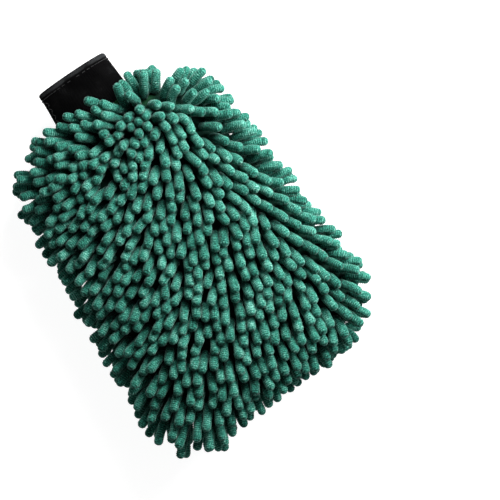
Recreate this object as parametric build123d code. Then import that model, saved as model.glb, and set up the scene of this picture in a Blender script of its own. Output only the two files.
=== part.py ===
from build123d import *
import math
import os

# A chenille wash mitt lying on its back: the front face is up (+Z), the fingers point along -Y
# and the cuff's mouth faces +Y. X runs across the hand. The origin is on the floor, under the
# middle of the whole mitt. "Along" is the distance from the cuff's mouth towards the fingers.

# ---- driving dimensions, millimetres and degrees ----
MITT_LENGTH = 334.0  # cuff mouth to the tips of the finger noodles
BAG_TIP = 311.0  # how far along the bag's finger end is

# the bag's outer surface: half width and half thickness
BAG_HALF_WIDTH_WRIST = 78.0  # the straight sides, run back to the neck
BAG_HALF_WIDTH_FINGERS = 99.0  # the straight sides, run on to the finger end
BAG_HALF_THICKNESS = 17.0
SHOULDER_LENGTH = 32.0  # the bag widens from its neck over this length
CORNER_LENGTH = 38.0  # the finger corners' rounding in plan
TIP_HALF_WIDTH = 58.0  # the straight part of the finger edge
TIP_TAPER_LENGTH = 60.0  # the finger end's thinning
TIP_HALF_THICKNESS = 4.0
SECTION_POWER = 2.6  # superellipse exponent of every cross-section

# the neck, where the cuff is sewn on, and the cuff
NECK_ALONG = 44.0  # the bag starts to widen here
NECK_HALF_WIDTH = 36.0
NECK_HALF_THICKNESS = 13.0
FLEX_ALONG = 52.0  # the line that the cuff bends about
FLEX_RADIUS = 15.6  # the neck's rounded end, about that line
FLEX_GAP = 0.4
MOUTH_HALF_WIDTH = 33.0
MOUTH_HALF_THICKNESS = 12.0
CUFF_WALL = 1.6

# cloth layers
BACKING_WALL = 1.2
LINING_GAP = 1.4
LINING_WALL = 0.8

# noodles
NOODLE_RADIUS = 3.7
NOODLE_LENGTH = 27.7
ROOT_GAP = 0.15  # the knit between a root and the backing's face
NOODLE_PITCH = 9.4  # between neighbours in a row
ROW_PITCH = 11.7  # between rows
ROWS = 23
FIRST_ROW_ALONG = 53.2
EDGE_MARGIN = 5.0  # from the panel seam to the nearest root
SIDE_FAN = 45.0  # the noodles at the sides point this far outwards
LEAN_AT_WRIST = (-44.0, -34.0, 12.0, 36.0)  # the first rows; below 0 leans towards the cuff
LEAN = 52.0  # every later row leans this far towards the fingers
REAR_SLOPE = 0.58  # the rear noodles' drop per length in the middle, pressed by the mitt's weight
REAR_SLOPE_MOST = 0.80  # and where they hang free

# sewing thread
THREAD_RADIUS = 0.3
THREAD_GAP = 0.2  # between a thread and the cloth it lies on
STITCH_LENGTH = 3.0
MOUTH_STITCHES = 44
MOUTH_STITCH_ALONG = 6.0
JOINING_STITCHES = 40
CLOSING_STITCHES = 8
CLOSING_TURN = 150.0  # where round the cuff its band is closed
SEAM_STITCH_PITCH = 5.5

# ---- worked out ----
NOODLE_CORE = NOODLE_LENGTH - 2 * NOODLE_RADIUS
ROOT_RISE = NOODLE_RADIUS + ROOT_GAP
MID_HEIGHT = BAG_HALF_THICKNESS + ROOT_RISE + NOODLE_CORE * REAR_SLOPE + NOODLE_RADIUS
MOUTH_Y = MITT_LENGTH / 2
BARREL_LENGTH = 4 * NECK_HALF_WIDTH
CUFF_SEWN_ALONG = FLEX_ALONG - NECK_HALF_THICKNESS / 2
THREAD_PROUD = THREAD_RADIUS + THREAD_GAP
LINING_INSET = BACKING_WALL + LINING_GAP


# ---- the bag's surface ----


def clamp(value):
    return min(max(value, 0.0), 1.0)


def round_off(part):
    """A quarter ellipse from 0 to 1, upright at 0 and level at 1."""
    return math.sqrt(1 - (1 - clamp(part)) ** 2)


def half_width(along):
    """Half the bag's width, so far from the cuff's mouth."""
    part = (along - NECK_ALONG) / (BAG_TIP - NECK_ALONG)
    side = BAG_HALF_WIDTH_WRIST + (BAG_HALF_WIDTH_FINGERS - BAG_HALF_WIDTH_WRIST) * part
    shoulder = math.sin(math.pi / 2 * clamp((along - NECK_ALONG) / SHOULDER_LENGTH))
    corner = round_off((BAG_TIP - along) / CORNER_LENGTH)
    wide = NECK_HALF_WIDTH + (side - NECK_HALF_WIDTH) * shoulder
    return wide - (wide - TIP_HALF_WIDTH) * (1 - corner)


def half_thickness(along):
    """Half the bag's thickness, so far from the cuff's mouth."""
    shoulder = 0.5 - 0.5 * math.cos(math.pi * clamp((along - NECK_ALONG) / SHOULDER_LENGTH))
    taper = round_off((BAG_TIP - along) / TIP_TAPER_LENGTH)
    thick = NECK_HALF_THICKNESS + (BAG_HALF_THICKNESS - NECK_HALF_THICKNESS) * shoulder
    return thick - (thick - TIP_HALF_THICKNESS) * (1 - taper)


def oval_point(wide, thick, turn):
    """A point of a superellipse section, as (x, height above the middle plane)."""
    power = 2 / SECTION_POWER
    x = math.copysign(abs(math.cos(turn)) ** power, math.cos(turn)) * wide
    height = math.copysign(abs(math.sin(turn)) ** power, math.sin(turn)) * thick
    return x, height


def place(x, along, height):
    """A point in the mitt's frame."""
    return Vector(x, MOUTH_Y - along, MID_HEIGHT + height)


def oval_section(wide, thick, along):
    """A whole cross-section, as a face."""
    steps = 24
    spots = [oval_point(wide, thick, 2 * math.pi * step / steps) for step in range(steps)]
    rim = Spline(*[place(x, along, height) for x, height in spots], periodic=True)
    return make_face([rim.edge()])


def bag_stations():
    """How far along each cross-section of the bag is, closer together where it rounds off."""
    neck = FLEX_ALONG - FLEX_RADIUS - 2
    stations = [neck, (neck + NECK_ALONG) / 2, NECK_ALONG]
    shoulder_steps = 6
    for step in range(1, shoulder_steps + 1):
        stations.append(NECK_ALONG + SHOULDER_LENGTH * step / shoulder_steps)
    shoulder_end = stations[-1]
    side_end = BAG_TIP - TIP_TAPER_LENGTH
    side_steps = 4
    for step in range(1, side_steps + 1):
        stations.append(shoulder_end + (side_end - shoulder_end) * step / side_steps)
    tip_steps = 10
    for step in range(1, tip_steps + 1):
        stations.append(side_end + TIP_TAPER_LENGTH * math.sin(math.pi / 2 * step / tip_steps))
    return stations


def drawn_in(along, inset):
    """A station's place once the finger end is drawn in by the inset."""
    neck = bag_stations()[0]
    return neck + (along - neck) * (BAG_TIP - inset - neck) / (BAG_TIP - neck)


def bag_solid(inset):
    """The solid inside the bag's surface, drawn in by the inset."""
    sections = []
    for along in bag_stations():
        wide = half_width(along) - inset
        thick = half_thickness(along) - inset
        sections.append(oval_section(wide, thick, drawn_in(along, inset)))
    return loft(sections, ruled=True)


def flex_barrel(radius):
    """A cylinder about the line that the cuff bends about."""
    axis = Plane(place(0, FLEX_ALONG, 0), x_dir=(0, 1, 0), z_dir=(1, 0, 0))
    return axis * Cylinder(radius, BARREL_LENGTH)


def beyond_neck():
    """What lies on the cuff's side of the neck's rounded end."""
    depth = 2 * FLEX_RADIUS
    block = Box(BARREL_LENGTH, depth, 2 * depth)
    return Pos(*place(0, FLEX_ALONG - depth / 2, 0)) * block - flex_barrel(FLEX_RADIUS)


def panels(inset, wall):
    """The front and rear panels of a bag: the two halves of its skin, open at the neck."""
    skin = bag_solid(inset) - bag_solid(inset + wall) - beyond_neck()
    middle = Plane(place(0, 0, 0))
    return split(skin, middle, keep=Keep.TOP), split(skin, middle, keep=Keep.BOTTOM)


# ---- the cuff ----


def cuff_solid(inset):
    """The solid inside the cuff's surface, drawn in by the inset."""
    mouth = oval_section(MOUTH_HALF_WIDTH - inset, MOUTH_HALF_THICKNESS - inset, 0)
    sewn = oval_section(NECK_HALF_WIDTH - inset, NECK_HALF_THICKNESS - inset, CUFF_SEWN_ALONG)
    return loft([mouth, sewn], ruled=True)


def elastic_cuff():
    """The knitted elastic tube, hollowed at its inner end to bend round the neck."""
    return cuff_solid(0) - cuff_solid(CUFF_WALL) - flex_barrel(FLEX_RADIUS + FLEX_GAP)


# ---- noodles ----


def rounded_rod(radius, length):
    """A rod with round ends along +Z; the centre of its first end is at the origin."""
    core = length - 2 * radius
    outline = [
        CenterArc((0, 0), radius, -90, 90).edge(),
        Line((radius, 0), (radius, core)).edge(),
        CenterArc((0, core), radius, 0, 90).edge(),
        Line((0, core + radius), (0, -radius)).edge(),
    ]
    return revolve(Plane.XZ * make_face(outline), Axis.Z).solid()


def set_along(rod, start, direction):
    """A copy of a rod with its first end's centre at start, pointing along direction."""
    return Plane(origin=start, z_dir=direction).location * rod


def bag_normal(x, along, height):
    """The outward normal of the bag's surface."""
    wide = half_width(along)
    thick = half_thickness(along)
    step = 0.05
    widening = (half_width(along + step) - half_width(along - step)) / (2 * step)
    thickening = (half_thickness(along + step) - half_thickness(along - step)) / (2 * step)
    part_x = abs(x / wide)
    part_height = abs(height / thick)
    across = math.copysign(part_x ** (SECTION_POWER - 1) / wide, x)
    upward = math.copysign(part_height ** (SECTION_POWER - 1) / thick, height)
    growth = part_x**SECTION_POWER * widening / wide
    growth += part_height**SECTION_POWER * thickening / thick
    return Vector(across, growth, upward).normalized()


def row_stations():
    """How far along each row of noodles is, evenly spaced over the curved surface."""
    step = 0.05
    along = FIRST_ROW_ALONG
    travelled = 0.0
    stations = [along]
    while len(stations) < ROWS and along < BAG_TIP - 2 * step:
        travelled += math.hypot(step, half_thickness(along + step) - half_thickness(along))
        along += step
        if travelled >= ROW_PITCH:
            stations.append(along)
            travelled = 0.0
    return stations


def row_spots(along, row):
    """The roots across a row, as (x, height), staggered from one row to the next."""
    steps = 1500
    wide = half_width(along)
    thick = half_thickness(along)
    arc = [oval_point(wide, thick, math.pi / 2 * (1 - step / steps)) for step in range(steps + 1)]
    half_arc = sum(math.dist(here, ahead) for here, ahead in zip(arc, arc[1:]))
    spots = []
    reach = NOODLE_PITCH / 2 if row % 2 else 0.0
    travelled = 0.0
    for here, ahead in zip(arc, arc[1:]):
        if travelled >= reach and reach <= half_arc - EDGE_MARGIN:
            spots.append(here)
            if reach > 0:
                spots.append((-here[0], here[1]))
            reach += NOODLE_PITCH
        travelled += math.dist(here, ahead)
    return spots


def noodle_direction(x, along, normal, row):
    """The way a noodle points: it leans from the surface's normal along the pile's flow."""
    lean = math.radians(LEAN_AT_WRIST[row] if row < len(LEAN_AT_WRIST) else LEAN)
    fan = math.radians(SIDE_FAN) * x / half_width(along)
    forward = math.copysign(1, lean)
    flow = Vector(math.sin(fan), -forward * math.cos(fan), 0)
    return (normal * math.cos(lean) + flow * math.sin(abs(lean))).normalized()


def pressed(root, pointing):
    """A rear noodle's direction: its tip rests on the floor, or hangs where that is out of reach."""
    drop = min((root.Z - NOODLE_RADIUS) / NOODLE_CORE, REAR_SLOPE_MOST)
    level = Vector(pointing.X, pointing.Y, 0).normalized()
    return level * math.sqrt(1 - drop**2) - Vector(0, 0, drop)


def noodle_row(rod, along, row, side):
    """One sewn row of noodles, on the front (side 1) or the rear (side -1)."""
    noodles = []
    for x, height in row_spots(along, row):
        normal = bag_normal(x, along, side * height)
        root = place(x, along, side * height) + normal * ROOT_RISE
        pointing = noodle_direction(x, along, normal, row)
        if side < 0:
            pointing = pressed(root, pointing)
        noodles.append(set_along(rod, root, pointing))
    return Compound(children=noodles)


# ---- sewing threads ----


def stitch_on(thread, middle, way):
    """A stitch with its middle at a place, running along way."""
    half_core = STITCH_LENGTH / 2 - THREAD_RADIUS
    return set_along(thread, middle - way.normalized() * half_core, way)


def ring_of_stitches(thread, count, ring_spot):
    """Running stitches round a closed ring; ring_spot gives the place at a turn."""
    look_aside = 0.01
    stitches = []
    for index in range(count):
        turn = 2 * math.pi * (index + 0.5) / count
        way = ring_spot(turn + look_aside) - ring_spot(turn - look_aside)
        stitches.append(stitch_on(thread, ring_spot(turn), way))
    return Compound(children=stitches)


def cuff_spot(turn, along):
    """A thread's place on the cuff's surface."""
    part = along / CUFF_SEWN_ALONG
    wide = MOUTH_HALF_WIDTH + (NECK_HALF_WIDTH - MOUTH_HALF_WIDTH) * part + THREAD_PROUD
    thick = MOUTH_HALF_THICKNESS + (NECK_HALF_THICKNESS - MOUTH_HALF_THICKNESS) * part + THREAD_PROUD
    x, height = oval_point(wide, thick, turn)
    return place(x, along, height)


def mouth_spot(turn):
    """The topstitching of the cuff's mouth hem."""
    return cuff_spot(turn, MOUTH_STITCH_ALONG)


def neck_spot(turn):
    """The joining seam, which follows the neck's rounded end."""
    edge = 1.5
    settling_steps = 8
    along = NECK_ALONG
    for _ in range(settling_steps):
        x, height = oval_point(half_width(along), half_thickness(along), turn)
        along = FLEX_ALONG - math.sqrt((FLEX_RADIUS - edge) ** 2 - height**2)
    return place(x, along, height) + bag_normal(x, along, height) * THREAD_PROUD


def closing_stitches(thread):
    """Zigzag stitches up the cuff where its band is closed into a tube."""
    first = MOUTH_STITCH_ALONG + 4
    last = FLEX_ALONG - FLEX_RADIUS - 3
    half_swing = 2.0
    stitches = []
    for index in range(CLOSING_STITCHES):
        along = first + (last - first) * index / CLOSING_STITCHES
        swing = half_swing if index % 2 else -half_swing
        turn = math.radians(CLOSING_TURN)
        middle = cuff_spot(turn, along)
        beside = cuff_spot(turn + 0.01, along) - middle
        way = beside.normalized() * swing + Vector(0, -half_swing, 0)
        stitches.append(stitch_on(thread, middle, way))
    return Compound(children=stitches)


def panel_outline(inset):
    """Half the outline of a bag's seam in plan, as (x, along), from the shoulder to the fingers."""
    steps = 600
    start = NECK_ALONG + 0.8 * SHOULDER_LENGTH
    points = []
    for step in range(steps + 1):
        along = start + (BAG_TIP - start) * math.sin(math.pi / 2 * step / steps)
        points.append((half_width(along) - inset, drawn_in(along, inset)))
    end_x, end_along = points[-1]
    for step in range(1, steps + 1):
        points.append((end_x * (1 - step / steps), end_along))
    return points


def seam_stitches(thread, inset):
    """Running stitches along the seam between a bag's two panels."""
    stitches = []
    travelled = 0.0
    outline = panel_outline(inset)
    for here, ahead in zip(outline, outline[1:]):
        travelled += math.dist(here, ahead)
        if travelled < SEAM_STITCH_PITCH:
            continue
        travelled = 0.0
        spot = place(*here, 0)
        way = (place(*ahead, 0) - spot).normalized()
        spot += Vector(-way.Y, way.X, 0) * THREAD_PROUD
        for side in (1, -1):
            middle = Vector(side * spot.X, spot.Y, spot.Z)
            stitches.append(stitch_on(thread, middle, Vector(side * way.X, way.Y, 0)))
    return Compound(children=stitches)


# ---- the whole mitt ----


def save(shape, node):
    shape.label = node
    export_step(shape, f"parts/{node}.step")


def main():
    os.makedirs("parts", exist_ok=True)
    thread = rounded_rod(THREAD_RADIUS, STITCH_LENGTH)
    noodle = rounded_rod(NOODLE_RADIUS, NOODLE_LENGTH)
    save(elastic_cuff(), "elastic_cuff")
    save(ring_of_stitches(thread, MOUTH_STITCHES, mouth_spot), "cuff_mouth_stitches")
    save(closing_stitches(thread), "cuff_closing_stitches")
    save(ring_of_stitches(thread, JOINING_STITCHES, neck_spot), "cuff_joining_stitches")
    backings = panels(0, BACKING_WALL)
    linings = panels(LINING_INSET, LINING_WALL)
    for name, side, backing, lining in zip(("front", "rear"), (1, -1), backings, linings):
        save(backing, f"{name}_backing")
        save(lining, f"{name}_lining")
        for row, along in enumerate(row_stations()):
            save(noodle_row(noodle, along, row, side), f"{name}_noodle_row_{row + 1:02d}")
    save(seam_stitches(thread, 0), "panel_seam_stitches")
    save(seam_stitches(thread, LINING_INSET), "lining_seam_stitches")


if __name__ == "__main__":
    main()
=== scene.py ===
import math
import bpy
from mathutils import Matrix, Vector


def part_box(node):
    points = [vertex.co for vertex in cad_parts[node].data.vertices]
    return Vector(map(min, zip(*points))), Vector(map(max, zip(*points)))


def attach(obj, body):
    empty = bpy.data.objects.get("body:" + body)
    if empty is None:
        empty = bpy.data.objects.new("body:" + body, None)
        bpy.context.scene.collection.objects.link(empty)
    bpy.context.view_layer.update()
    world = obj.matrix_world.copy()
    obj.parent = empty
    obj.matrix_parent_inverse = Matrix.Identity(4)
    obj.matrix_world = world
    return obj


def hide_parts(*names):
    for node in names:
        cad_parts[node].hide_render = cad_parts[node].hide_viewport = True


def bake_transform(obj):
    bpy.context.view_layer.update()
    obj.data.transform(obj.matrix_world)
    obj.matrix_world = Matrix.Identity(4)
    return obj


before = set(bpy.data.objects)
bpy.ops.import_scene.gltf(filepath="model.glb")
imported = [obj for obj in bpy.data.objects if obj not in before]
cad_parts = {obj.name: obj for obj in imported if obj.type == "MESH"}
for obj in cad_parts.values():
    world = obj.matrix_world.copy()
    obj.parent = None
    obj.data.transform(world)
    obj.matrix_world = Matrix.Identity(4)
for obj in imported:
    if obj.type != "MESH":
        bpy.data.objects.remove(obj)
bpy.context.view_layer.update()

from types import SimpleNamespace

import bpy
import numpy as np
from mathutils import Matrix, Vector
from mathutils.bvhtree import BVHTree

MM = 0.001

# A chenille wash mitt lying on its back: +Y towards the cuff's mouth, +Z out of the front face.
# The noodles start from the CAD rods, are combed and settled on the bag by position-based
# dynamics, and are then swept as ribbed tufts.

# ---- places read from the frame ----
CUFF_LOW, CUFF_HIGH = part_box("elastic_cuff")
MOUTH_Y = CUFF_HIGH[1]
MIDDLE_Z = (CUFF_LOW[2] + CUFF_HIGH[2]) / 2
TIP_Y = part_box("front_backing")[0][1]
JOIN_DIGITS = 6  # corners that agree to a micrometre are one corner

# ---- the view: the camera looks straight down, turned so that the cuff is at the upper left ----
UP = Vector((0.559, 0.829, 0))
OUT = Vector((0, 0, 1))
RIGHT = UP.cross(OUT)
LOOK_AT = Vector((0.043, -0.043, 0.045))
VIEW_WIDTH = 0.425  # metres across the picture at the mitt
LENS, SENSOR_WIDTH = 100, 36
CLIP_START, CLIP_END = 0.05, 20

# ---- stage and light: a lamp's place is how far right, up and out it is from what it aims at ----
FLOOR_HALF = 6.0
FLOOR_GREY, FLOOR_GLOW = 0.3, 0.93
WORLD_STRENGTH = 0.13
LAMPS_AIM = Vector((0, 0, 0.04))
LAMPS = (  # name, place, size, power in watts
    ("key", (0.15, 0.38, 0.31), 0.3, 5.8),
    ("rim", (0.36, 0.12, 0.18), 0.12, 2.3),
    ("fill", (0.9, 0.2, 1.1), 1.2, 1.5),
)

# ---- colours, as stops of a ramp from shade to light, or as one middle colour ----
CHENILLE_STOPS = (
    (0.18, (0.0020, 0.024, 0.017)),
    (0.42, (0.013, 0.112, 0.080)),
    (0.62, (0.036, 0.198, 0.148)),
    (0.95, (0.220, 0.440, 0.372)),
)
# black elastic, up to a grey that is painted sheen
ELASTIC_SHEEN_STOPS = (
    (0.0, (0.0004, 0.0004, 0.0005)),
    (0.5, (0.0016, 0.0016, 0.0017)),
    (1.0, (0.020, 0.021, 0.022)),
)
# the knit's dark end is painted shade deep between the noodles; its light end is painted light on the knit
# near the cuff
KNIT_SHADE_STOPS = (
    (0.0, (0.002, 0.014, 0.009)),
    (0.5, (0.008, 0.046, 0.016)),
    (1.0, (0.018, 0.095, 0.026)),
)
SHEEN_TINT = (0.7, 0.95, 0.88, 1)
LINING_COLOUR = (0.22, 0.235, 0.235)
BLACK_THREAD = (0.006, 0.006, 0.0065)
GREEN_THREAD = (0.02, 0.10, 0.05)
GREY_THREAD = (0.25, 0.26, 0.26)
LINING_WEAVE, THREAD_WEAVE = 1200, 2500  # noise cells in a metre

# ---- noodles ----
NOODLE_RADIUS = 3.95 * MM
RADIUS_RANGE = (0.95, 1.07)  # of that radius
CORE_LENGTH = 18.0 * MM  # root centre to tip centre
LENGTH_SPREAD = 2.4  # millimetres longer or shorter
LINKS = 5  # straight links in each noodle's chain while it settles
GATHERED_ROWS = (1, 2, 3, 23)  # by the cuff and at the finger seam the pile is twice as dense
ROW_PITCH = 11.7 * MM
EDGE_STEP = np.array([5.0, 0.0, 7.0]) * MM  # from a row's last root to one beside the seam
ROOT_JITTER = np.array([1.6, 2.2, 0.0])  # millimetres
STAGGER = 2.7 * MM  # every other root moves this far where the pile lies along its row
NECK_SHIFT = 4.5 * MM  # the first roots move this far towards the cuff
NECK_SHIFT_START, NECK_SHIFT_RUN = 95 * MM, 18 * MM

# where noodles are longer or shorter
CROWN_EXTRA = 8.0 * MM  # the noodles nearest the cuff are longer
CROWN_START, CROWN_RUN = 75 * MM, 38 * MM
CROWN_SIDEWAYS = 0.6  # of the extra goes only to noodles that are combed sideways
CORNER_EXTRA = 8.0 * MM  # the noodles at the corner that hangs lowest are longer too
CORNER_PLACE = np.array([-80, -140]) * MM
CORNER_REACH = 30 * MM
FRONT_RIM_TRIM, REAR_RIM_TRIM = 3.5 * MM, 1.5 * MM  # shorter round the bag's edge
RIGHT_CROWN_TRIM = 3.5 * MM  # shorter where the crown is combed to the right
RIGHT_GAIN = 3  # how soon a noodle counts as combed to the right
FINGER_TRIM = 5.0 * MM  # shorter over the finger end

# strays: how far noodles turn from the comb, in radians
STRAY, UPRIGHT_STRAY = 0.16, 0.4
CUFF_STRAY = 0.28  # noodles near the cuff part to both sides
CUFF_STRAY_START, CUFF_STRAY_RUN = 60 * MM, 25 * MM
REAR_TURN = (-0.2, 0.5)  # the rear pile is pressed askew

# at the sides the pile follows the bag and hangs
SIDE_HUG = 0.75  # how much of its outward lean a noodle loses
SIDE_DROOP = 0.4

# how a noodle leans off the bag, in degrees at its root and at its tip
COMBED_LEAN, UPRIGHT_LEAN, REAR_LEAN = (62, 20), (74, 50), (25, 5)

# how the front pile is combed, judged and set down along lines across the mitt, from the cuff to
# the fingers: the line's y, then each place's x and heading, in millimetres and degrees from +X
COMB_LINES = (
    (116, ((-55, 150), (-20, 150), (10, 145), (30, 125), (42, 95), (52, 60))),
    (100, ((-62, 165), (-38, 170), (-22, -165), (8, -145), (28, -105), (44, -65), (64, 5), (74, -30))),
    (75, ((-75, -165), (-45, -158), (-20, -148), (5, -138), (27, -128), (45, -100), (60, -95), (75, -45))),
    (45, ((-85, -155), (-55, -152), (-15, -140), (18, -122), (47, -97), (62, -88), (86, -36))),
    (10, ((-95, -152), (-58, -153), (-36, -148), (0, -128), (40, -105), (74, -78), (98, -46))),
    (-25, ((-72, -150), (-45, -147), (-20, -135), (13, -121), (55, -110), (80, -82), (103, -50))),
    (-55, ((-84, -153), (-56, -150), (-19, -130), (40, -103), (78, -88), (102, -52))),
    (-85, ((-98, -153), (-52, -133), (10, -119), (48, -115), (82, -95), (105, -58))),
    (-128, ((-100, -147), (-77, -140), (-47, -124), (0, -110), (58, -112), (92, -66))),
    (-155, ((-80, -124), (-50, -118))),
)
GUIDES = np.array([(x, y, heading) for y, places in COMB_LINES for x, heading in places], dtype=float)
COMB_SOFTNESS = 7 * MM
# the parting near the cuff, where the noodles stand up; millimetres
PARTING = np.array([(-5, 76), (2, 92), (20, 101), (32, 104)], dtype=float)
PARTING_REACH = 15 * MM

# ---- settling ----
SETTLE_STEPS = 130
SEARCH_EVERY = 6  # steps between two searches for neighbours and for the nearest faces
PASSES = 3  # rounds of corrections in a step
PACE = 0.5 * MM  # how far the first step moves a tip
SLOWING = 0.9  # how much of that pace is gone by the last step
PAIR_REACH = 2.6 * NOODLE_RADIUS
COMB_PULL, PRESS = 0.5, 0.65
PACKING = 0.97  # of the sum of two radii, which is as close as two noodles lie
APART_GAIN, CROWD_POWER = 1.3, 0.7
FLOOR_GAP = 1.3 * MM
MEMORY, STIFFNESS = 0.08, 0.25  # how much a link keeps to its combed way, and to the link before
TINY = 1e-7

# ---- the surface of a noodle; waves are given by their length over two pi ----
SIDES = 12
RING_STEP = 0.43 * MM
CURVE_POINTS = 60
END_SHARE = 0.999  # a round end stops just short of its pole
START_SIDE = (0.3, 0.5, 0.81)
PHASES = 8
SWELLS = ((0.025, 5.1 * MM), (0.02, 2.3 * MM))  # share of the radius, and wave
RIB_PITCH = 1.75 * MM
RIB_WANDER, WANDER_WAVE = 0.9, 3.7 * MM
RIB_SKEWS = ((0.5, 1), (0.35, 2))  # radians, and turns round the noodle
RIB_FADE, FADE_WAVE = 0.2, 2.1 * MM
RIB_HEIGHT, RIB_SINK = 0.13, 0.08  # shares of the radius
FUZZ = 0.022  # share of the radius
FUZZ_TONE = 3  # how strongly the fuzz shows in the colour

# ---- the bag and the cuff, as in the CAD part, millimetres; "along" runs from the cuff's mouth ----
NECK_ALONG, NECK_WIDE, NECK_THICK = 44.0, 36.0, 13.0
MOUTH_WIDE, MOUTH_THICK, CUFF_SEWN = 33.0, 12.0, 45.5
SHOULDER, TIP_ALONG = 32.0, 311.0
SIDE_AT_WRIST, SIDE_AT_FINGERS = 78.0, 99.0
BAG_THICK, TIP_WIDE, TIP_THICK = 17.0, 58.0, 4.0
CORNER, TIP_TAPER = 38.0, 60.0
POWER = 2.6
FLEX_ALONG, NECK_END_RADIUS, CUFF_END_RADIUS = 52.0, 15.6, 15.9
BACKING_WALL, LINING_INSET, LINING_WALL, CUFF_WALL = 1.2, 2.6, 0.8, 1.6

# the grids of points that the cloths are made of
BAG_COLUMNS, BAG_ROWS, TIP_ROWS = 97, 70, 30
TIP_START = 0.8  # the rows draw closer together from this share of the bag's length
TIP_FOLD, TIP_PROUD = 0.15, 0.5 * MM  # how the last row turns in to the seam
CUFF_ROWS, CUFF_RIBS, RIB_POINTS = 60, 96, 6

# the lining's creases, millimetres; waves are given by their length over two pi
LINING_RIPPLE = 1.4
CREASE_ACROSS, CREASE_ALONG = 9, 17
ACROSS_BEND, ALONG_BEND = 31, 23

# the cuff's relief, millimetres; a wave round it is given by how often it turns
CUFF_RIB_HEIGHT, CUFF_RIB_START, CUFF_RIB_RUN = 0.06, 4, 2
HEM_HEIGHT, HEM_END, HEM_RUN = 0.5, 5.0, 1.2
RIM_ROUNDING, RIM_RUN = 0.9, 1.4
INNER_SHARE = -0.6  # the inside of the hem swells the other way, by less
RIM_PALE_END = 4.6
PUCKER_HEIGHT, PUCKER_REACH, PUCKERS = 0.45, 6.0, 22
PUCKER_SWAY, SWAY_TURNS = 1.3, 3
SAG_HEIGHT, SAG_TURNS, SAG_SLANT, SAG_WAVE = 0.25, 5, 14, 11

# noodle rows that reach past this place have their placement baked into the mesh; the others hang from the
# mitt's empty
BEND_START = 105 * MM

rng = np.random.default_rng(20)


# ---- camera ----


def make_camera():
    data = bpy.data.cameras.new("camera")
    camera = bpy.data.objects.new("camera", data)
    bpy.context.collection.objects.link(camera)
    data.lens = LENS
    data.sensor_width = SENSOR_WIDTH
    data.clip_start = CLIP_START
    data.clip_end = CLIP_END
    distance = LENS / SENSOR_WIDTH * VIEW_WIDTH
    camera.matrix_world = matrix_from(RIGHT, UP, OUT, LOOK_AT + OUT * distance)
    bpy.context.scene.camera = camera


def matrix_from(x_axis, y_axis, z_axis, origin):
    rows = [[x_axis[i], y_axis[i], z_axis[i], origin[i]] for i in range(3)]
    return Matrix([*rows, [0, 0, 0, 1]])


# ---- mesh helpers ----


def world_mesh(node):
    """A CAD node's corners and triangles, with doubled corners joined."""
    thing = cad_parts[node]
    mesh = thing.data
    mesh.calc_loop_triangles()
    corners = np.empty(len(mesh.vertices) * 3)
    mesh.vertices.foreach_get("co", corners)
    corners = corners.reshape(-1, 3)
    triangles = np.empty(len(mesh.loop_triangles) * 3, dtype=np.int64)
    mesh.loop_triangles.foreach_get("vertices", triangles)
    turn = np.array(thing.matrix_world)
    corners = corners @ turn[:3, :3].T + turn[:3, 3]
    joined, places = np.unique(np.round(corners, JOIN_DIGITS), axis=0, return_inverse=True)
    return joined, places.reshape(-1)[triangles].reshape(-1, 3)


def islands(corners, triangles):
    """The connected pieces of a mesh, as lists of corner numbers."""
    label = np.arange(len(corners))
    while True:
        lowest = label[triangles].min(axis=1)
        before = label.copy()
        for side in range(3):
            np.minimum.at(label, triangles[:, side], lowest)
        label = label[label]
        if (label == before).all():
            break
    return [np.nonzero(label == name)[0] for name in np.unique(label)]


def new_piece(name, corners, faces):
    """A smooth-shaded object with these corners and faces."""
    mesh = bpy.data.meshes.new(name)
    mesh.from_pydata([tuple(corner) for corner in corners], [], faces)
    mesh.update()
    mesh.polygons.foreach_set("use_smooth", [True] * len(mesh.polygons))
    thing = bpy.data.objects.new(name, mesh)
    bpy.context.collection.objects.link(thing)
    return thing


def set_attribute(thing, name, values):
    layer = thing.data.attributes.new(name, "FLOAT", "POINT")
    layer.data.foreach_set("value", values.astype(np.float32))


def unit(vectors):
    """Each row of an array as a vector of length one."""
    return vectors / np.linalg.norm(vectors, axis=-1, keepdims=True)


def ramp(values, start, run):
    """0 up to the start, rising evenly to 1 over the run."""
    return np.clip((values - start) / run, 0, 1)


# ---- where the noodles start ----


def cad_rods(node):
    """The two ends of each rod in a row."""
    corners, triangles = world_mesh(node)
    rods = []
    for members in islands(corners, triangles):
        cloud = corners[members]
        middle = cloud.mean(axis=0)
        axis = np.linalg.svd(cloud - middle, full_matrices=False)[2][0]
        reach = (cloud - middle) @ axis
        low, high = reach.min(), reach.max()
        rods.append((middle + axis * low, middle + axis * high))
    return rods


def root_first(rod, bag):
    """A rod's two ends, the one nearer the bag first."""
    gaps = [bag.find_nearest(Vector(end))[3] for end in rod]
    return rod if gaps[0] <= gaps[1] else (rod[1], rod[0])


def with_edges(rods, side):
    """A row's rods in order, with one more beyond each end, beside the seam; side is 1 in front."""
    rods = sorted(rods, key=lambda rod: rod[0][0])
    left, right = EDGE_STEP * (-1, 1, -side), EDGE_STEP * (1, 1, -side)
    first, last = rods[0], rods[-1]
    return [(first[0] + left, first[1] + left), *rods, (last[0] + right, last[1] + right)]


def gathered(rods):
    """A row's rods, then one more between each two, half a row nearer the fingers."""
    shift = np.array([0, -ROW_PITCH / 2, 0])
    between = [((a[0] + b[0]) / 2 + shift, (a[1] + b[1]) / 2 + shift) for a, b in zip(rods, rods[1:])]
    return rods + between


def all_rods(bag):
    """Every row's node, how many noodles it has, and the rods that they start from."""
    nodes, sizes, rods = [], [], []
    for node in sorted(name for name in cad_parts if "_noodle_row_" in name):
        row = [root_first(rod, bag) for rod in cad_rods(node)]
        row = with_edges(row, 1 if node.startswith("front") else -1)
        if int(node[-2:]) in GATHERED_ROWS:
            row = gathered(row)
        nodes.append(node)
        sizes.append(len(row))
        rods += row
    return nodes, sizes, np.array(rods)


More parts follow.
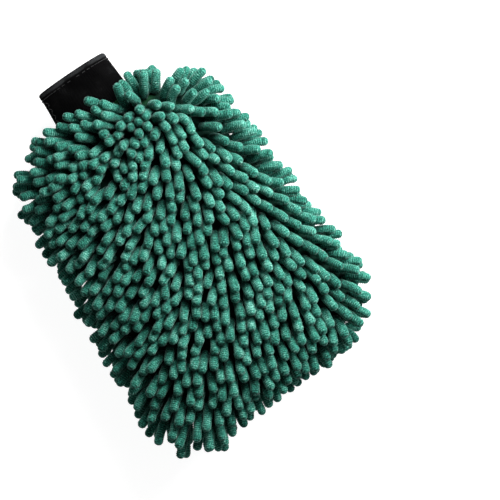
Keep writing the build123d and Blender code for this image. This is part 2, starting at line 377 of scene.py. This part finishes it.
def search_tree(nodes, outer_only):
    """One search tree over several CAD nodes, or over their outward faces only."""
    corners, triangles, first = [], [], 0
    for node in nodes:
        c, t = world_mesh(node)
        if outer_only:
            middles = c[t].mean(axis=1)
            normals = np.cross(c[t[:, 1]] - c[t[:, 0]], c[t[:, 2]] - c[t[:, 0]])
            outward = middles - np.array([0, 0, MIDDLE_Z])
            outward[:, 1] = np.minimum(middles[:, 1] - (TIP_Y + TIP_TAPER * MM), 0)
            t = t[(normals * outward).sum(axis=1) > 0]
        corners.append(c)
        triangles.append(t + first)
        first += len(c)
    return BVHTree.FromPolygons(np.concatenate(corners).tolist(), np.concatenate(triangles).tolist())


def nearest_faces(tree, points):
    """The nearest place on the bag to each point, and the outward normal there."""
    spots = np.empty_like(points)
    normals = np.empty_like(points)
    for index, point in enumerate(points):
        spot, normal, _, _ = tree.find_nearest(Vector(point))
        spots[index] = spot
        normals[index] = normal
    return spots, normals


def combed(places):
    """The way the pile is combed at each root, in plan, and how upright it stands there."""
    heading = np.radians(GUIDES[:, 2])
    gap = ((places[:, None, :2] - GUIDES[None, :, :2] * MM) ** 2).sum(axis=2)
    weight = 1 / (gap + COMB_SOFTNESS**2) ** 2
    flow = unit(weight @ np.stack([np.cos(heading), np.sin(heading)], axis=1))
    nearest = np.ones(len(places))
    for start, end in zip(PARTING * MM, PARTING[1:] * MM):
        run = end - start
        part = np.clip(((places[:, :2] - start) @ run) / (run @ run), 0, 1)
        away = places[:, :2] - (start + part[:, None] * run)
        nearest = np.minimum(nearest, np.linalg.norm(away, axis=1))
    return flow, np.exp(-((nearest / PARTING_REACH) ** 2))


def planted(rods, sizes, surface):
    """Staggers and jitters the roots and puts them on the bag; gives the normals there too."""
    roots = rods[:, 0] + unit(rods[:, 1] - rods[:, 0]) * NOODLE_RADIUS
    flow, _ = combed(roots)
    order = np.concatenate([np.arange(size) for size in sizes])
    moved = roots + rng.uniform(-1, 1, roots.shape) * ROOT_JITTER * MM
    moved[:, 1] += STAGGER * np.where(order % 2, 1, -1) * flow[:, 0] ** 2
    moved[:, 1] += NECK_SHIFT * ramp(roots[:, 1], NECK_SHIFT_START, NECK_SHIFT_RUN)
    spots, normals = nearest_faces(surface, moved)
    return spots + normals * NOODLE_RADIUS, normals


def described(roots, normals):
    """What is true of each noodle at its root: each array has one value for each noodle."""
    flow, upright = combed(roots)
    front = roots[:, 2] > MIDDLE_Z
    from_corner = (roots[:, :2] - CORNER_PLACE) / CORNER_REACH
    return SimpleNamespace(
        roots=roots,
        normals=normals,
        flow=flow,
        front=front,
        upright=np.where(front, upright, 0),
        crown=ramp(roots[:, 1], CROWN_START, CROWN_RUN) ** 2,
        corner=np.exp(-(from_corner**2).sum(axis=1)),
        rim=1 - np.abs(normals[:, 2]),
    )


def noodle_lengths(pile):
    """How long each noodle is from its root's centre to its tip's."""
    sideways = 1 - CROWN_SIDEWAYS + CROWN_SIDEWAYS * pile.flow[:, 0] ** 2
    rightward = np.clip(RIGHT_GAIN * pile.flow[:, 0], 0, 1)
    fingerward = np.clip(-pile.normals[:, 1], 0, 1)
    length = CORE_LENGTH + rng.uniform(-LENGTH_SPREAD, LENGTH_SPREAD, len(pile.roots)) * MM
    length += CROWN_EXTRA * pile.crown * (1 - pile.upright) * sideways * (1 - pile.rim)
    length += CORNER_EXTRA * pile.corner - np.where(pile.front, FRONT_RIM_TRIM, REAR_RIM_TRIM) * pile.rim
    length -= RIGHT_CROWN_TRIM * pile.crown * rightward
    length -= FINGER_TRIM * fingerward * (1 - pile.corner)
    return length


def lying_ways(pile):
    """The way each noodle lies along the bag's surface, with some strays."""
    count = len(pile.roots)
    near_cuff = ramp(pile.roots[:, 1], CUFF_STRAY_START, CUFF_STRAY_RUN)
    twist = rng.normal(0, 1, count) * (STRAY + UPRIGHT_STRAY * pile.upright)
    twist += CUFF_STRAY * near_cuff * rng.choice((-1, 1), count)
    twist += np.where(pile.front, 0, rng.uniform(*REAR_TURN, count))
    cos, sin = np.cos(twist), np.sin(twist)
    x, y = pile.flow.T
    across = np.stack([x * cos - y * sin, x * sin + y * cos, np.zeros(count)], axis=1)
    outward = (across * pile.normals).sum(axis=1)
    side = np.where(pile.front, pile.rim, 0) * (1 - pile.corner)
    across -= pile.normals * np.where(outward < 0, outward, SIDE_HUG * side * outward)[:, None]
    across[:, 2] -= SIDE_DROOP * side
    return unit(across)


def between(ends, part):
    return ends[0] + (ends[1] - ends[0]) * part


def standing_chains(pile, across, length):
    """The noodles before they settle: chains of points that curve over from root to tip."""
    chains = np.empty((len(length), LINKS + 1, 3))
    chains[:, 0] = pile.roots
    for index in range(LINKS):
        part = index / (LINKS - 1)
        lean = between(COMBED_LEAN, part) * (1 - pile.upright) + between(UPRIGHT_LEAN, part) * pile.upright
        lean = np.radians(np.where(pile.front, lean, between(REAR_LEAN, part)))
        step = unit(across * np.cos(lean)[:, None] + pile.normals * np.sin(lean)[:, None])
        chains[:, index + 1] = chains[:, index] + step * (length / LINKS)[:, None]
    return chains


# ---- settling ----


def close_pairs(points, owner, reach):
    """Pairs of points of different noodles that are closer than reach."""
    cell = np.floor(points / reach).astype(np.int64)
    cell -= cell.min(axis=0) - 1
    span = cell.max(axis=0) + 2
    key = (cell[:, 0] * span[1] + cell[:, 1]) * span[2] + cell[:, 2]
    order = np.argsort(key, kind="stable")
    sorted_key = key[order]
    first, second = [], []
    steps = (-1, 0, 1)
    # half of the cells around, so that each pair is found once
    offsets = [(x, y, z) for x in steps for y in steps for z in steps if (x, y, z) >= (0, 0, 0)]
    for x, y, z in offsets:
        wanted = key + (x * span[1] + y) * span[2] + z
        low = np.searchsorted(sorted_key, wanted, "left")
        high = np.searchsorted(sorted_key, wanted, "right")
        count = high - low
        a = np.repeat(np.arange(len(points)), count)
        step = np.arange(count.sum()) - np.repeat(np.cumsum(count) - count, count)
        b = order[np.repeat(low, count) + step]
        keep = owner[a] != owner[b]
        if (x, y, z) == (0, 0, 0):
            keep &= a < b
        a, b = a[keep], b[keep]
        near = ((points[a] - points[b]) ** 2).sum(axis=1) < reach * reach
        first.append(a[near])
        second.append(b[near])
    return np.concatenate(first), np.concatenate(second)


def settle(chains, radii, across, upright, surface):
    """Combs the chains across the bag and lets them come to rest on it and on each other."""
    count, nodes, _ = chains.shape
    runs = chains[:, 1:] - chains[:, :-1]
    link = np.linalg.norm(runs, axis=2)
    wanted = runs / link[:, :, None]
    owner = np.repeat(np.arange(count), nodes)
    radius = np.repeat(radii, nodes)
    free = np.ones(count * nodes)
    free[::nodes] = 0
    depth = np.tile(np.arange(nodes) / (nodes - 1), count)
    loose = np.repeat(1 - upright, nodes)
    comb = np.repeat(across, nodes, axis=0) * loose[:, None]
    points = chains.reshape(-1, 3)
    for step in range(SETTLE_STEPS):
        pace = PACE * (1 - SLOWING * step / SETTLE_STEPS)
        if step % SEARCH_EVERY == 0:
            spots, normals = nearest_faces(surface, points)
            pairs = close_pairs(points, owner, PAIR_REACH)
        push = comb * COMB_PULL - normals * (loose * PRESS)[:, None]
        points = points + push * (pace * depth * free)[:, None]
        for _ in range(PASSES):
            points = apart(points, pairs, radius, free)
            points = off_surface(points, spots, normals, radius, free)
            points = linked(points.reshape(count, nodes, 3), link, wanted).reshape(-1, 3)
    return points.reshape(count, nodes, 3)


def apart(points, pairs, radius, free):
    """Moves points of noodles that overlap away from each other."""
    a, b = pairs
    gap = points[a] - points[b]
    length = np.maximum(np.linalg.norm(gap, axis=1), TINY)
    overlap = PACKING * (radius[a] + radius[b]) - length
    touching = overlap > 0
    a, b = a[touching], b[touching]
    move = gap[touching] * (0.5 * overlap[touching] / length[touching])[:, None]
    total = np.zeros_like(points)
    add_at(total, a, move)
    add_at(total, b, -move)
    hits = np.bincount(a, minlength=len(points)) + np.bincount(b, minlength=len(points))
    return points + total * (free * APART_GAIN / np.maximum(hits, 1) ** CROWD_POWER)[:, None]


def add_at(total, index, values):
    for axis in range(3):
        total[:, axis] += np.bincount(index, values[:, axis], len(total))


def off_surface(points, spots, normals, radius, free):
    """Lifts points out of the bag and off the floor."""
    depth = ((points - spots) * normals).sum(axis=1)
    short = np.maximum(radius - depth, 0)
    points = points + normals * (short * free)[:, None]
    points[:, 2] += np.maximum(radius + FLOOR_GAP - points[:, 2], 0) * free
    return points


def linked(chains, link, wanted):
    """Keeps each link's length, from the root out, and the noodle near its combed curve."""
    for index in range(1, chains.shape[1]):
        run = chains[:, index] - chains[:, index - 1]
        length = np.maximum(np.linalg.norm(run, axis=1), TINY)[:, None]
        way = run / length + MEMORY * wanted[:, index - 1]
        if index > 1:
            before = chains[:, index - 1] - chains[:, index - 2]
            before /= np.maximum(np.linalg.norm(before, axis=1), TINY)[:, None]
            way = way + STIFFNESS * before
        chains[:, index] = chains[:, index - 1] + unit(way) * link[:, index - 1][:, None]
    return chains


# ---- noodle meshes ----


def curve_through(chain, count):
    """A smooth line through a chain's points, evenly stepped (Catmull-Rom)."""
    ends = np.vstack([2 * chain[0] - chain[1], chain, 2 * chain[-1] - chain[-2]])
    t = np.linspace(0, len(chain) - 1 - 1e-9, count)
    k = t.astype(int)
    u = (t - k)[:, None]
    a, b, c, d = ends[k], ends[k + 1], ends[k + 2], ends[k + 3]
    return 0.5 * (2 * b + (c - a) * u + (2 * a - 5 * b + 4 * c - d) * u**2 + (3 * b - a - 3 * c + d) * u**3)


def centre_line(chain, along, length):
    """Places on a chain's smooth line, carried straight on past both of its ends."""
    line = curve_through(chain, CURVE_POINTS)
    steps = np.linalg.norm(line[1:] - line[:-1], axis=1)
    run = np.concatenate([[0], np.cumsum(steps)])
    run *= length / run[-1]
    inside = np.clip(along, 0, length)
    middle = np.stack([np.interp(inside, run, line[:, axis]) for axis in range(3)], axis=1)
    middle += unit(line[1] - line[0]) * np.minimum(along, 0)[:, None]
    middle += unit(line[-1] - line[-2]) * np.maximum(along - length, 0)[:, None]
    return middle


def side_ways(middle):
    """Two ways square to a line at each of its points, which don't twist along it."""
    tangent = unit(np.gradient(middle, axis=0))
    side = unit(np.cross(tangent[0], START_SIDE))
    sides = np.empty_like(middle)
    for index, way in enumerate(tangent):
        side = unit(side - way * (side @ way))
        sides[index] = side
    return sides, np.cross(tangent, sides)


def tuft(chain, radius, seed):
    """One noodle: a ribbed, slightly lumpy tube with round ends along a chain, and its tone, with a painted
    highlight on the rib crests and painted shade in the grooves and towards the root, where the noodle above
    shades it.
    """
    local = np.random.default_rng(seed)
    length = np.linalg.norm(chain[1:] - chain[:-1], axis=1).sum()
    rings = int((length + 2 * radius) / RING_STEP)
    along = np.linspace(-radius * END_SHARE, length + radius * END_SHARE, rings)
    middle = centre_line(chain, along, length)
    sides, others = side_ways(middle)
    past_end = np.maximum(np.maximum(-along, along - length), 0)
    cap = np.sqrt(np.clip(1 - (past_end / radius) ** 2, 0, 1))
    turn = np.linspace(0, 2 * math.pi, SIDES, endpoint=False)
    phase = local.uniform(0, 2 * math.pi, PHASES)
    swell = np.ones(rings)
    for (share, wave), shift in zip(SWELLS, phase):
        swell += share * np.sin(along / wave + shift)
    wander = RIB_WANDER * np.sin(along / WANDER_WAVE + phase[2])
    skew = sum(size * np.sin(turns * turn + shift) for (size, turns), shift in zip(RIB_SKEWS, phase[3:]))
    ribs = 0.5 + 0.5 * np.cos((2 * math.pi * along / RIB_PITCH + wander)[:, None] + skew[None, :])
    fade = np.sin(2 * turn[None, :] + along[:, None] / FADE_WAVE + phase[5])
    ribs = ribs * (1 - RIB_FADE + RIB_FADE * fade)
    fuzz = local.normal(0, FUZZ, (rings, SIDES))
    reach = radius * cap[:, None] * (swell[:, None] + RIB_HEIGHT * ribs - RIB_SINK + fuzz)
    around = sides[:, None] * np.cos(turn)[None, :, None] + others[:, None] * np.sin(turn)[None, :, None]
    points = middle[:, None] + around * reach[:, :, None]
    # painted shade: the tone follows the ribs, lighter on the crests and darker in the grooves, and is
    # darker towards the root, where the noodle above casts its shadow
    near_root = np.clip(1 - along / length, 0, 1)[:, None]
    return points, np.clip(ribs + FUZZ_TONE * fuzz, 0, 1) - near_root**2


def tuft_faces(rings, first):
    """A tube's faces, whose corners are numbered from the first on, with its two end caps."""
    ring = np.arange(rings - 1)[:, None] * SIDES
    a = np.arange(SIDES)[None, :]
    b = (a + 1) % SIDES
    quads = np.stack([ring + a, ring + b, ring + SIDES + b, ring + SIDES + a], axis=2).reshape(-1, 4) + first
    start = (np.arange(SIDES)[::-1] + first).tolist()
    end = (np.arange(SIDES) + (rings - 1) * SIDES + first).tolist()
    return quads.tolist() + [start, end]


def row_piece(name, chains, radii, seed):
    """One row of noodles as one object, with each noodle's painted rib and root shade and its tone as
    attributes.
    """
    tones = np.random.default_rng(seed).uniform(-1, 1, len(chains))
    # the ribs list gathers each noodle's painted rib and root shade
    corners, faces, ribs, tone, first = [], [], [], [], 0
    for index, (chain, radius) in enumerate(zip(chains, radii)):
        points, rib_and_root_shade = tuft(chain, radius, seed * 1000 + index)
        corners.append(points.reshape(-1, 3))
        ribs.append(rib_and_root_shade.reshape(-1))
        tone.append(np.full(rib_and_root_shade.size, tones[index]))
        faces += tuft_faces(len(points), first)
        first += len(points) * SIDES
    piece = new_piece(name, np.concatenate(corners), faces)
    set_attribute(piece, "rib_and_root_shade", np.concatenate(ribs))
    set_attribute(piece, "tone", np.concatenate(tone))
    return piece


# ---- materials ----


def node_material(name):
    material = bpy.data.materials.new(name)
    material.use_nodes = True
    tree = material.node_tree
    shader = tree.nodes["Principled BSDF"]
    return material, tree, shader


def math_node(tree, operation, *values):
    node = tree.nodes.new("ShaderNodeMath")
    node.operation = operation
    for socket, value in zip(node.inputs, values):
        if isinstance(value, (int, float)):
            socket.default_value = value
        else:
            tree.links.new(value, socket)
    return node.outputs[0]


def scaled(tree, source, gain, offset):
    return math_node(tree, "MULTIPLY_ADD", source, gain, offset)


def added(tree, factor, source, gain, offset):
    """A factor with a scaled source added to it."""
    return math_node(tree, "ADD", factor, scaled(tree, source, gain, offset))


def noise_node(tree, scale, detail=2.0):
    place = tree.nodes.new("ShaderNodeTexCoord")
    noise = tree.nodes.new("ShaderNodeTexNoise")
    noise.inputs["Scale"].default_value = scale
    noise.inputs["Detail"].default_value = detail
    tree.links.new(place.outputs["Object"], noise.inputs["Vector"])
    return noise.outputs["Fac"]


def attribute_node(tree, name):
    node = tree.nodes.new("ShaderNodeAttribute")
    node.attribute_name = name
    return node.outputs["Fac"]


def colour_from(tree, shader, factor, stops):
    """The base colour follows a factor along the stops of a ramp."""
    node = tree.nodes.new("ShaderNodeValToRGB")
    tree.links.new(factor, node.inputs["Fac"])
    elements = node.color_ramp.elements
    elements[0].position, elements[0].color = stops[0][0], (*stops[0][1], 1)
    elements[1].position, elements[1].color = stops[-1][0], (*stops[-1][1], 1)
    for place, colour in stops[1:-1]:
        elements.new(place).color = (*colour, 1)
    tree.links.new(node.outputs["Color"], shader.inputs["Base Color"])


def add_bump(tree, shader, height, strength, distance):
    bump = tree.nodes.new("ShaderNodeBump")
    bump.inputs["Strength"].default_value = strength
    bump.inputs["Distance"].default_value = distance
    tree.links.new(height, bump.inputs["Height"])
    tree.links.new(bump.outputs["Normal"], shader.inputs["Normal"])


def chenille_material(name):
    """Tufted pile: a painted highlight on the rib crests and painted shade in the grooves and towards each
    root, speckled like cut fibre, and toned from noodle to noodle.
    """
    material, tree, shader = node_material(name)
    speckle = noise_node(tree, scale=850)
    # this attribute is painted light and shade: highlights on the rib crests, shade in the grooves and near
    # each root
    factor = scaled(tree, attribute_node(tree, "rib_and_root_shade"), gain=0.36, offset=0.10)
    factor = added(tree, factor, speckle, gain=1.25, offset=-0.62)
    factor = added(tree, factor, noise_node(tree, scale=2600), gain=0.9, offset=-0.45)
    factor = added(tree, factor, noise_node(tree, scale=55), gain=0.4, offset=-0.2)
    factor = added(tree, factor, attribute_node(tree, "tone"), gain=0.07, offset=0.2)
    colour_from(tree, shader, factor, CHENILLE_STOPS)
    add_bump(tree, shader, speckle, strength=0.7, distance=0.0007)
    shader.inputs["Roughness"].default_value = 0.95
    shader.inputs["Specular IOR Level"].default_value = 0.1
    shader.inputs["Sheen Weight"].default_value = 0.25
    shader.inputs["Sheen Roughness"].default_value = 0.4
    shader.inputs["Sheen Tint"].default_value = SHEEN_TINT
    return material


def cloth_material(name, colour, weave):
    """Plain woven cloth or thread, lighter and darker by the weave."""
    material, tree, shader = node_material(name)
    noise = noise_node(tree, weave)
    stops = [(0.0, [c * 0.6 for c in colour]), (1.0, [c * 1.4 for c in colour])]
    colour_from(tree, shader, noise, stops)
    add_bump(tree, shader, noise, strength=0.4, distance=0.0004)
    shader.inputs["Roughness"].default_value = 0.9
    return material


def elastic_material(name):
    """Black knitted elastic, with a painted grey sheen in patches and a paler rolled rim."""
    material, tree, shader = node_material(name)
    weave = noise_node(tree, scale=1500)
    # painted sheen: a grey bloom in broad patches
    factor = scaled(tree, noise_node(tree, scale=60, detail=4), gain=1.6, offset=-0.55)
    factor = added(tree, factor, weave, gain=0.8, offset=-0.4)
    factor = scaled(tree, attribute_node(tree, "rim"), gain=0.55, offset=factor)
    colour_from(tree, shader, factor, ELASTIC_SHEEN_STOPS)
    add_bump(tree, shader, weave, strength=0.25, distance=0.0004)
    shader.inputs["Roughness"].default_value = 0.9
    shader.inputs["Specular IOR Level"].default_value = 0.03
    return material


def backing_material(name):
    """The knit the noodles are sewn to: near black elsewhere as painted shade deep between the noodles, and
    lit and yellower in patches near the cuff as painted light.
    """
    material, tree, shader = node_material(name)
    place = tree.nodes.new("ShaderNodeTexCoord")
    split = tree.nodes.new("ShaderNodeSeparateXYZ")
    tree.links.new(place.outputs["Object"], split.inputs[0])
    # painted light and shade: brighter towards the cuff and in patches, darker elsewhere as shade between
    # the noodles
    factor = scaled(tree, split.outputs["Y"], gain=12.0, offset=-1.3)
    factor = added(tree, factor, noise_node(tree, scale=900), gain=0.4, offset=-0.2)
    factor = added(tree, factor, noise_node(tree, scale=70), gain=2.4, offset=-1.1)
    colour_from(tree, shader, factor, KNIT_SHADE_STOPS)
    shader.inputs["Roughness"].default_value = 0.95
    shader.inputs["Specular IOR Level"].default_value = 0.1
    return material


def dress(thing, material):
    thing.data.materials.clear()
    thing.data.materials.append(material)


# ---- stage ----


def make_stage():
    half = FLOOR_HALF
    corners = [(-half, -half, 0), (half, -half, 0), (half, half, 0), (-half, half, 0)]
    floor = new_piece("floor", corners, [(0, 1, 2, 3)])
    material, _, shader = node_material("paper_white")
    shader.inputs["Base Color"].default_value = (FLOOR_GREY, FLOOR_GREY, FLOOR_GREY, 1)
    shader.inputs["Roughness"].default_value = 0.9
    shader.inputs["Emission Color"].default_value = (1, 1, 1, 1)
    shader.inputs["Emission Strength"].default_value = FLOOR_GLOW
    dress(floor, material)


def make_lights():
    for name, (right, up, out), size, power in LAMPS:
        data = bpy.data.lights.new(name, "AREA")
        data.size = size
        data.energy = power
        lamp = bpy.data.objects.new(name, data)
        bpy.context.collection.objects.link(lamp)
        lamp.location = LAMPS_AIM + RIGHT * right + UP * up + OUT * out
        lamp.rotation_mode = "QUATERNION"
        lamp.rotation_quaternion = (LAMPS_AIM - lamp.location).to_track_quat("-Z", "Y")
    world = bpy.data.worlds.new("studio")
    bpy.context.scene.world = world
    world.use_nodes = True
    back = world.node_tree.nodes["Background"]
    back.inputs["Color"].default_value = (1, 1, 1, 1)
    back.inputs["Strength"].default_value = WORLD_STRENGTH
    bpy.context.scene.view_settings.view_transform = "Standard"


# ---- the shape of the bag and the cuff ----


def round_off(part):
    """A quarter ellipse from 0 to 1, upright at 0 and level at 1."""
    return np.sqrt(1 - (1 - np.clip(part, 0, 1)) ** 2)


def half_width(along):
    """Half the bag's width, which grows from the neck over the shoulders and closes at the fingers."""
    part = (along - NECK_ALONG) / (TIP_ALONG - NECK_ALONG)
    side = SIDE_AT_WRIST + (SIDE_AT_FINGERS - SIDE_AT_WRIST) * part
    shoulder = np.sin(math.pi / 2 * ramp(along, NECK_ALONG, SHOULDER))
    wide = NECK_WIDE + (side - NECK_WIDE) * shoulder
    return wide - (wide - TIP_WIDE) * (1 - round_off((TIP_ALONG - along) / CORNER))


def half_thickness(along):
    shoulder = 0.5 - 0.5 * np.cos(math.pi * ramp(along, NECK_ALONG, SHOULDER))
    thick = NECK_THICK + (BAG_THICK - NECK_THICK) * shoulder
    return thick - (thick - TIP_THICK) * (1 - round_off((TIP_ALONG - along) / TIP_TAPER))


def oval(wide, thick, turn):
    """Points of a superellipse section, as x and height."""
    cos, sin = np.cos(turn), np.sin(turn)
    x = np.sign(cos) * np.abs(cos) ** (2 / POWER) * wide
    height = np.sign(sin) * np.abs(sin) ** (2 / POWER) * thick
    return x, height


def rounded_end(radius, thick, turn):
    """How far along a section ends whose edge is an arc about the hinge line."""
    height = oval(NECK_WIDE, thick, turn)[1]
    return FLEX_ALONG - np.sqrt(radius**2 - height**2)


def placed(x, along, height):
    return np.stack([x * MM, MOUTH_Y - along * MM, MIDDLE_Z + height * MM], axis=-1)


def line_length(points):
    return np.linalg.norm(points[1:] - points[:-1], axis=-1).sum(axis=0)


def skin(name, outer, inner, closed):
    """A cloth of real thickness from two grids of points; closed grids join up round the tube."""
    rows, columns, _ = outer.shape
    size = rows * columns
    i, j = np.meshgrid(np.arange(rows - 1), np.arange(columns if closed else columns - 1), indexing="ij")
    k = (j + 1) % columns
    here, below = i * columns, (i + 1) * columns
    quad = np.stack([here + j, here + k, below + k, below + j], axis=-1).reshape(-1, 4)
    faces = [quad, quad[:, ::-1] + size]
    for row, flip in ((0, 1), (rows - 1, -1)):
        a = row * columns + j[0]
        b = row * columns + k[0]
        faces.append(np.stack([b, a, a + size, b + size], axis=1)[:, ::flip])
    if not closed:
        for column, flip in ((0, -1), (columns - 1, 1)):
            a = np.arange(rows - 1) * columns + column
            faces.append(np.stack([a + columns, a, a + size, a + columns + size], axis=1)[:, ::flip])
    corners = np.concatenate([outer.reshape(-1, 3), inner.reshape(-1, 3)])
    return new_piece(name, corners, np.concatenate(faces).tolist())


def bag_grid(inset, side, ripple):
    """One face of the bag, so far inside it: rows run from the neck's rounded end to the fingers."""
    turn = np.linspace(0, math.pi, BAG_COLUMNS)[None, :]
    start = rounded_end(NECK_END_RADIUS, NECK_THICK - inset, turn)
    closing = np.sin(math.pi / 2 * np.linspace(0, 1, TIP_ROWS)[1:])
    part = np.concatenate([np.linspace(0, TIP_START, BAG_ROWS), TIP_START + (1 - TIP_START) * closing])
    along = start + (TIP_ALONG - start) * part[:, None]
    x, height = oval(half_width(along) - inset, half_thickness(along) - inset, turn)
    place = start + (along - start) * (TIP_ALONG - inset - start) / (TIP_ALONG - start)
    if ripple:
        across_wave = np.sin(x / CREASE_ACROSS + 3 * np.sin(along / ACROSS_BEND))
        along_wave = np.sin(along / CREASE_ALONG + 2 * np.sin(x / ALONG_BEND))
        crease = 0.5 + 0.5 * across_wave * along_wave
        height = height - ripple * crease * np.sin(turn) ** 2
    return placed(x, place, side * height)


def closed_end(grid):
    """Adds a last row that turns the finger end in to the seam."""
    last = grid[-1].copy()
    last[:, 2] = between((MIDDLE_Z, last[:, 2]), TIP_FOLD)
    last[:, 1] -= TIP_PROUD
    return np.concatenate([grid, last[None]])


def cuff_relief(along, turn, end, inner):
    """How far the cuff's skin stands out: fine ribs, the rolled hem, puckers at the seam, and sag."""
    ribs = CUFF_RIB_HEIGHT * np.cos(CUFF_RIBS * turn) * ramp(along, CUFF_RIB_START, CUFF_RIB_RUN)
    hem = HEM_HEIGHT * np.clip((HEM_END - along) / HEM_RUN, 0, 1)
    rim = RIM_ROUNDING * (1 - np.sqrt(ramp(along, 0, RIM_RUN)))
    near_seam = np.exp(-(end - along) / PUCKER_REACH)
    puckers = PUCKER_HEIGHT * near_seam * np.sin(PUCKERS * turn + PUCKER_SWAY * np.sin(SWAY_TURNS * turn))
    sag = SAG_HEIGHT * np.sin(SAG_TURNS * turn + along / SAG_SLANT) * np.sin(along / SAG_WAVE + 1)
    return ribs + (hem - rim) * (INNER_SHARE if inner else 1) + puckers + sag


# ---- the mitt ----


def bends(piece):
    """Bakes the piece's placement into its mesh."""
    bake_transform(piece)


def make_pile():
    bag = search_tree(("front_backing", "rear_backing"), False)
    surface = search_tree(("front_backing", "rear_backing", "elastic_cuff"), True)
    nodes, sizes, rods = all_rods(bag)
    radii = NOODLE_RADIUS * rng.uniform(*RADIUS_RANGE, len(rods))
    pile = described(*planted(rods, sizes, surface))
    length = noodle_lengths(pile)
    across = lying_ways(pile)
    chains = standing_chains(pile, across, length)
    settled = settle(chains, radii, across, pile.upright, surface)
    green = chenille_material("chenille_green")
    first = 0
    for index, (node, size) in enumerate(zip(nodes, sizes)):
        part = slice(first, first + size)
        piece = row_piece("pile_" + node, settled[part], radii[part], index + 1)
        if settled[part][:, :, 1].max() + 2 * NOODLE_RADIUS > BEND_START:
            bends(piece)
        else:
            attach(piece, "mitt")
        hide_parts(node)
        dress(piece, green)
        first += size


def make_cuff():
    """The knitted elastic tube: a rolled mouth hem, fine ribs and puckers where it is sewn on."""
    turn = np.linspace(0, 2 * math.pi, CUFF_RIBS * RIB_POINTS, endpoint=False)[None, :]
    end = rounded_end(CUFF_END_RADIUS, NECK_THICK, turn)
    along = end * np.linspace(0, 1, CUFF_ROWS)[:, None]
    spread = ramp(along, 0, CUFF_SEWN)
    grids = []
    for inner in (False, True):
        outward = cuff_relief(along, turn, end, inner) - CUFF_WALL * inner
        wide = between((MOUTH_WIDE, NECK_WIDE), spread) + outward
        thick = between((MOUTH_THICK, NECK_THICK), spread) + outward
        x, height = oval(wide, thick, turn)
        grids.append(placed(x, along, height))
    piece = skin("elastic_cuff_knit", grids[0], grids[1], True)
    set_attribute(piece, "rim", np.clip(RIM_PALE_END - np.tile(along.reshape(-1), 2), 0, 1))
    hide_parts("elastic_cuff")
    dress(piece, elastic_material("elastic_black"))
    bends(piece)


def make_bag():
    """Each face of the knit bag and of its lining, in place of its CAD node."""
    knit = backing_material("knit_green")
    grey = cloth_material("lining_grey", LINING_COLOUR, LINING_WEAVE)
    layers = (
        ("backing", 0, BACKING_WALL, 0, knit, "knit_green"),
        ("lining", LINING_INSET, LINING_WALL, LINING_RIPPLE, grey, "lining_grey"),
    )
    for face, side in (("front", 1), ("rear", -1)):
        for layer, inset, wall, ripple, material, slot in layers:
            outer = bag_grid(inset, side, ripple)
            inner = bag_grid(inset + wall, side, ripple)
            if side < 0:
                outer, inner = outer[:, ::-1], inner[:, ::-1]
            piece = skin(f"{face}_{layer}_cloth", closed_end(outer), closed_end(inner), False)
            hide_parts(f"{face}_{layer}")
            dress(piece, material)
            around = line_length(outer.swapaxes(0, 1)).max()
            bends(piece)


def make_threads():
    """The joining seam's thread becomes a piece of its own; the others stay CAD shapes."""
    black = cloth_material("thread_black", BLACK_THREAD, THREAD_WEAVE)
    green = cloth_material("thread_green", GREEN_THREAD, THREAD_WEAVE)
    grey = cloth_material("thread_grey", GREY_THREAD, THREAD_WEAVE)
    corners, triangles = world_mesh("cuff_joining_stitches")
    piece = new_piece("joining_seam_threads", corners, triangles.tolist())
    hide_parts("cuff_joining_stitches")
    dress(piece, black)
    bends(piece)
    dress(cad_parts["cuff_mouth_stitches"], black)
    dress(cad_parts["cuff_closing_stitches"], black)
    dress(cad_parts["panel_seam_stitches"], green)
    dress(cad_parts["lining_seam_stitches"], grey)


make_camera()
make_pile()
make_stage()
make_lights()
make_cuff()
make_bag()
make_threads()
